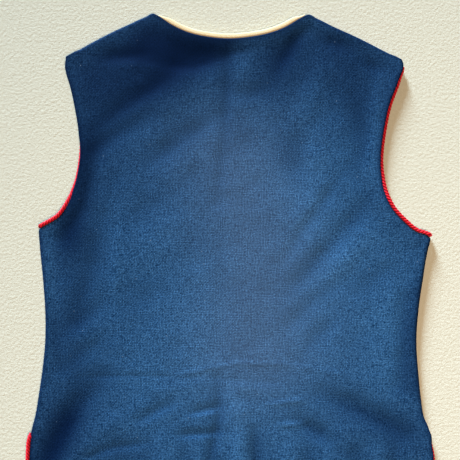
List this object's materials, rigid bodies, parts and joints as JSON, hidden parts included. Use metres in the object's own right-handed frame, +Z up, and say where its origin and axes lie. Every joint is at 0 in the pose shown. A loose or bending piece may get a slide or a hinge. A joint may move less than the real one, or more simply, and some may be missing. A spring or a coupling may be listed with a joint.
{
  "type": "folk vest laid face down",
  "caption": "Sleeveless wool folk vest laid flat with its back uppermost, edged with twisted cord and bound with a band at the neck.",
  "frame": {"origin": "under the middle of the vest's box, on the surface that it lies on", "axes": "+Y up the vest's length from hem to neck, +X across it to the right as the picture shows it, +Z up from the surface, out of the vest's back"},
  "size_m": [0.495, 0.595, 0.0112],
  "materials": {
    "navy_wool": "matt plain-woven wool, slightly heathered and worn lighter on its high places",
    "red_cord": "twisted cord with a soft sheen",
    "cream_band": "matt fine-woven binding"
  },
  "bodies": {
    "root": {"back": "navy_wool", "front_left": "navy_wool", "front_right": "navy_wool", "cord_armhole_left": "red_cord", "cord_armhole_right": "red_cord", "cord_hem_back": "red_cord", "cord_hem_front_left": "red_cord", "cord_hem_front_right": "red_cord", "neck_band_back": "cream_band", "neck_band_front_left": "cream_band", "neck_band_front_right": "cream_band"}
  },
  "joints": []
}
